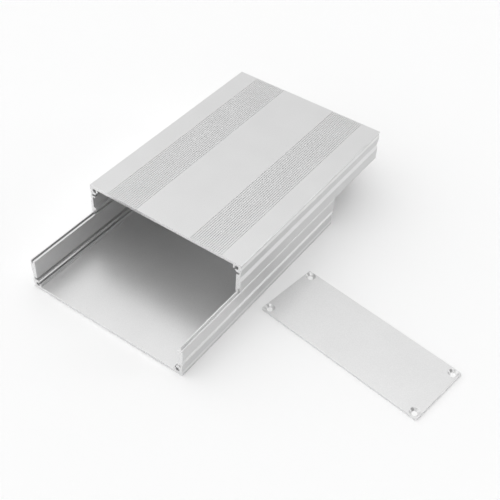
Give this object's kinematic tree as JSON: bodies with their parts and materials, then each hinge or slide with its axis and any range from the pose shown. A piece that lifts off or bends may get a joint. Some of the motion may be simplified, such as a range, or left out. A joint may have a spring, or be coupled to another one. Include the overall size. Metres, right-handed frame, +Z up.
{
  "type": "junction box enclosure",
  "caption": "Aluminium extruded electronics enclosure, split lengthwise, with the upper shell slid partly open along the lower one and an end plate lying beside it",
  "frame": {"origin": "centre of the lower shell's base face, on the surface it stands on", "axes": "+X across the box towards the loose front end plate, +Y along the box from its open front end to the rear, the way the upper shell has slid, +Z up"},
  "size_m": [0.2389, 0.2005, 0.042],
  "materials": {
    "shell_aluminium": "extruded, fine bead-blasted, clear anodised",
    "plate_aluminium": "flat sheet, fine bead-blasted, clear anodised",
    "screw_steel": "zinc-plated steel screw"
  },
  "bodies": {
    "lower": {"lower_shell": "shell_aluminium", "front_end_plate": "plate_aluminium", "rear_end_plate": "plate_aluminium", "rear_plate_screw_1": "screw_steel", "rear_plate_screw_2": "screw_steel", "rear_plate_screw_3": "screw_steel", "rear_plate_screw_4": "screw_steel", "front_plate_screw_1": "screw_steel", "front_plate_screw_2": "screw_steel", "front_plate_screw_3": "screw_steel", "front_plate_screw_4": "screw_steel"},
    "upper": {"upper_shell": "shell_aluminium"}
  },
  "joints": [
    {"name": "shell_slide", "type": "slide", "parent": "lower", "child": "upper", "axis": [0, 1, 0], "range_m": [-0.0505, 0.0895]}
  ]
}
